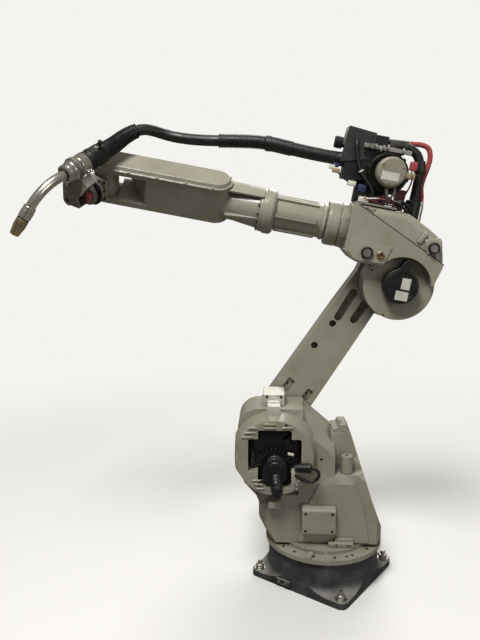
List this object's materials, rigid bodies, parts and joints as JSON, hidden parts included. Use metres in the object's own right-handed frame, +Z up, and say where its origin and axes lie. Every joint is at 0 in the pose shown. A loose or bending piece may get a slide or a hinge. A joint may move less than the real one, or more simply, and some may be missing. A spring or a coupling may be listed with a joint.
{
  "type": "arc welding robot arm",
  "caption": "Jointed welding robot: swivel base, side-mounted lower arm, elbow with wire feeder, rolling forearm, forked wrist and a goose-neck torch with its cable.",
  "frame": {"origin": "on the floor, where the swivel axis of the base meets it", "axes": "+Z up along the swivel axis, +X the way the forearm points, +Y to the side with the motor covers"},
  "size_m": [0.9696, 0.4247, 1.1523],
  "materials": {
    "paint": "warm grey enamel, satin, dusty",
    "base_paint": "dark grey painted casting, dusty",
    "motor_black": "black enamel, semi-matt",
    "black_plastic": "moulded, matt",
    "black_rubber": "dull black rubber sleeve",
    "red_rubber": "red hose rubber, satin",
    "bare_steel": "zinc plated, dull",
    "plug_steel": "blackened rim with a bright face",
    "feeder_grey": "grey enamel, satin",
    "guard_black": "folded sheet, black powder coat",
    "brass": "dull brass",
    "white_plastic": "moulded nylon",
    "sensor_grey": "grey moulded housing",
    "torch_metal": "polished nickel",
    "nozzle_metal": "nickelled brass, heat tinted"
  },
  "bodies": {
    "base": {"base_casting": "base_paint", "connector_box": "base_paint"},
    "turntable": {"swivel_ring": "paint", "turntable_casting": "paint", "shoulder_motor": "motor_black", "shoulder_plugs": "motor_black", "access_cover": "paint", "swivel_stop": "paint", "shoulder_stop": "bare_steel", "lifting_post": "paint"},
    "lower_link": {"lower_arm": "paint", "lower_arm_caps": "paint"},
    "elbow": {"elbow_casting": "paint", "elbow_cover": "paint", "elbow_motor_cap": "black_plastic", "elbow_plugs": "plug_steel", "roll_ring": "paint", "feeder_plate": "bare_steel", "feeder_bracket": "motor_black", "feed_head": "motor_black", "feed_motor": "feeder_grey", "feed_motor_cap": "feeder_grey", "feeder_bar": "bare_steel", "feeder_guard": "guard_black", "cable_socket": "black_plastic", "gas_valve": "brass", "lead_plugs": "white_plastic", "wire_conduit": "black_rubber", "conduit_gland": "black_plastic", "gas_hose": "red_rubber", "gas_fitting": "brass", "torch_cable": "black_rubber"},
    "forearm": {"forearm_tube": "paint", "forearm_collar": "paint", "forearm_fork": "paint", "belt_cover": "paint"},
    "wrist": {"wrist_body": "paint"},
    "tool": {"tool_flange": "motor_black", "crash_sensor": "sensor_grey", "torch_bracket": "paint", "torch_clamp": "torch_metal", "torch_body": "black_plastic", "torch_neck": "torch_metal", "torch_nozzle": "nozzle_metal"}
  },
  "joints": [
    {"name": "swivel", "type": "hinge", "parent": "base", "child": "turntable", "pos_m": [0, 0, 0.1], "axis": [0, 0, 1], "range_deg": [-204, 136]},
    {"name": "shoulder", "type": "hinge", "parent": "turntable", "child": "lower_link", "pos_m": [0.13, 0, 0.35], "axis": [0, 1, 0], "range_deg": [-25, 115]},
    {"name": "elbow_lift", "type": "hinge", "parent": "lower_link", "child": "elbow", "pos_m": [-0.16543, 0, 0.76572], "axis": [0, -1, 0], "range_deg": [-50, 90]},
    {"name": "forearm_roll", "type": "hinge", "parent": "elbow", "child": "forearm", "pos_m": [-0.01476, 0, 0.91193], "axis": [0.9829, 0, 0.184], "range_deg": [-150, 150], "deforming": ["torch_cable"]},
    {"name": "wrist_bend", "type": "hinge", "parent": "forearm", "child": "wrist", "pos_m": [0.54945, 0, 1.01751], "axis": [-0.1459, 0.6088, 0.7798], "range_deg": [-160, 30]},
    {"name": "tool_roll", "type": "hinge", "parent": "wrist", "child": "tool", "pos_m": [0.57943, 0.0417, 0.99057], "axis": [0.5169, 0.719, -0.4646], "range_deg": [-170, 170]}
  ]
}
